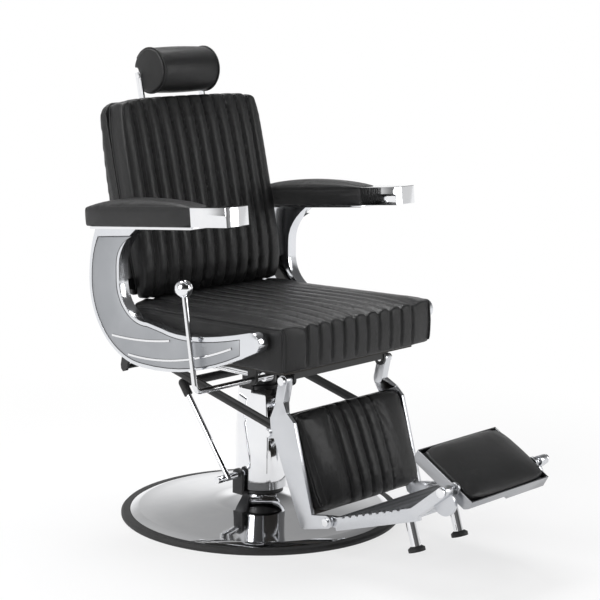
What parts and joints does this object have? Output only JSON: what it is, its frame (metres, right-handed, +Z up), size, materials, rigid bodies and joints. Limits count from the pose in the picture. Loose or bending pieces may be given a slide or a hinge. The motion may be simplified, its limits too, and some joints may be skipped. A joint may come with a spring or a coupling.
{
  "type": "barber chair",
  "caption": "Hydraulic barber chair: round base, lifting and swivelling column, reclining back linked to a leg rest, adjustable headrest, folding foot plate with a flip rest.",
  "frame": {"origin": "centre of the round base on the floor", "axes": "+Z up, the sitter faces -Y, the sitter's right hand is at -X"},
  "size_m": [0.701, 1.1281, 1.1499],
  "materials": {
    "chrome": "polished chrome",
    "cast": "polished casting",
    "satin": "satin brushed",
    "steel_black": "black paint",
    "leather": "black upholstery, soft sheen",
    "rubber": "black rubber",
    "tread": "dark grey ribbed",
    "bronze": "bearing bronze",
    "board": "painted plywood"
  },
  "bodies": {
    "base": {"base_plate": "steel_black", "base_dish": "chrome", "base_trim_ring": "rubber", "base_socket": "satin", "swivel_bearing": "bronze"},
    "pump": {"pump_cylinder": "steel_black", "pump_gland": "satin", "pump_bracket": "steel_black", "pump_lever_pin": "chrome"},
    "pump_lever": {"pump_lever": "chrome", "pump_grip": "rubber"},
    "carriage": {"ram": "chrome", "column_cover": "chrome", "mount_head": "steel_black", "seat_frame": "steel_black", "seat_board": "board", "seat_cushion": "leather", "side_frame_right": "cast", "side_frame_left": "cast", "side_panel_right": "satin", "side_panel_left": "satin", "frame_spacers": "steel_black", "arm_strip_right": "chrome", "arm_strip_left": "chrome", "arm_block_right": "cast", "arm_block_left": "cast", "arm_pad_right": "leather", "arm_pad_left": "leather", "back_axle": "chrome", "leg_pivot_bolts": "chrome", "lock_housing": "satin"},
    "lock_rod": {"lock_rod": "chrome"},
    "recline_lever": {"recline_lever": "chrome", "recline_knob": "chrome"},
    "back": {"back_frame": "steel_black", "back_shell": "leather", "back_cushion": "leather", "headrest_sleeves": "steel_black"},
    "headrest_slide": {"headrest_bars": "chrome"},
    "headrest": {"headrest_cushion": "leather", "headrest_screws": "chrome"},
    "links": {"link_right": "steel_black", "link_left": "steel_black"},
    "leg_rest": {"leg_arm_right": "cast", "leg_arm_left": "cast", "calf_board": "board", "calf_cushion": "leather", "leg_cross_tube": "chrome", "link_pins": "chrome", "foot_bolts": "chrome"},
    "foot_plate": {"foot_frame": "cast", "foot_tread": "tread", "foot_posts": "chrome", "foot_pads": "rubber"},
    "flip_rest": {"flip_tray": "chrome", "flip_cushion": "leather", "flip_axle": "chrome"}
  },
  "joints": [
    {"name": "swivel", "type": "hinge", "parent": "base", "child": "pump", "pos_m": [0, 0, 0.03], "axis": [0, 0, 1], "continuous": true},
    {"name": "lift", "type": "slide", "parent": "pump", "child": "carriage", "axis": [0, 0, 1], "range_m": [0, 0.15]},
    {"name": "pump_lever_swing", "type": "hinge", "parent": "pump", "child": "pump_lever", "pos_m": [-0.13, 0.005, 0.11], "axis": [-1, 0, 0], "range_deg": [0, 30], "stiffness_Nm_per_rad": 8, "springref_deg": -28.65},
    {"name": "recline", "type": "hinge", "parent": "carriage", "child": "back", "pos_m": [0, 0.17, 0.51], "axis": [-1, 0, 0], "range_deg": [0, 42]},
    {"name": "leg_rest_swing", "type": "hinge", "parent": "carriage", "child": "leg_rest", "pos_m": [0, -0.247, 0.407], "axis": [-1, 0, 0], "range_deg": [0, 42]},
    {"name": "link_swing", "type": "hinge", "parent": "back", "child": "links", "pos_m": [0, 0.203, 0.382], "axis": [-1, 0, 0], "range_deg": [-42, 0]},
    {"name": "lock_slide", "type": "slide", "parent": "carriage", "child": "lock_rod", "axis": [0, -1, 0], "range_m": [0, 0.1]},
    {"name": "recline_lever_swing", "type": "hinge", "parent": "carriage", "child": "recline_lever", "pos_m": [-0.2, -0.105, 0.38], "axis": [-1, 0, 0], "range_deg": [0, 18], "stiffness_Nm_per_rad": 6, "springref_deg": -17.19},
    {"name": "headrest_height", "type": "slide", "parent": "back", "child": "headrest_slide", "axis": [0, 0.2284, 0.9736], "range_m": [0, 0.08]},
    {"name": "headrest_tilt", "type": "hinge", "parent": "headrest_slide", "child": "headrest", "pos_m": [0, 0.3327, 1.07888], "axis": [-1, 0, 0], "range_deg": [-12, 30]},
    {"name": "foot_plate_fold", "type": "hinge", "parent": "leg_rest", "child": "foot_plate", "pos_m": [0, -0.39689, 0.10409], "axis": [-1, 0, 0], "range_deg": [0, 40]},
    {"name": "flip_rest_turn", "type": "hinge", "parent": "foot_plate", "child": "flip_rest", "pos_m": [0, -0.7197, 0.2403], "axis": [-1, 0, 0], "range_deg": [-90, 38]}
  ],
  "couplings": [
    {"joint": "leg_rest_swing", "follows": "recline", "ratio": 1},
    {"joint": "link_swing", "follows": "recline", "ratio": -1},
    {"joint": "lock_slide", "follows": "recline", "m_per_rad": 0.1284}
  ]
}
